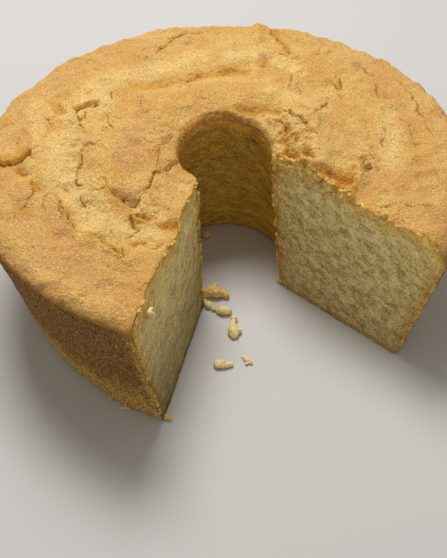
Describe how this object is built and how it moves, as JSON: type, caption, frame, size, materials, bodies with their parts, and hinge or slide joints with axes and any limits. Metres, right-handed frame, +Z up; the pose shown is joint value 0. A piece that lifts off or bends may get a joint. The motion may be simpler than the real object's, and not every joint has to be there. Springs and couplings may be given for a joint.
{
  "type": "pound cake",
  "caption": "Ring-shaped pound cake from a tube pan, with a wedge cut away, a cracked golden crust on top and a fine pale crumb on the cut faces.",
  "frame": {"origin": "middle of the cake's bounding box, on its flat base", "axes": "+Z up out of the base, towards the cracked crust; the missing wedge opens towards -Y and slightly towards +X; the axis of the hole stands 2.6 mm from the origin, on the -Y side"},
  "size_m": [0.2539, 0.2472, 0.0935],
  "materials": {
    "crust": "dry golden baked crust, darker on the walls, with a pale yellow crumb where it is cut",
    "crumb": "soft matt cake crumb, pale yellow with fine pores"
  },
  "bodies": {
    "root": {"cake": "crust"}
  },
  "joints": []
}
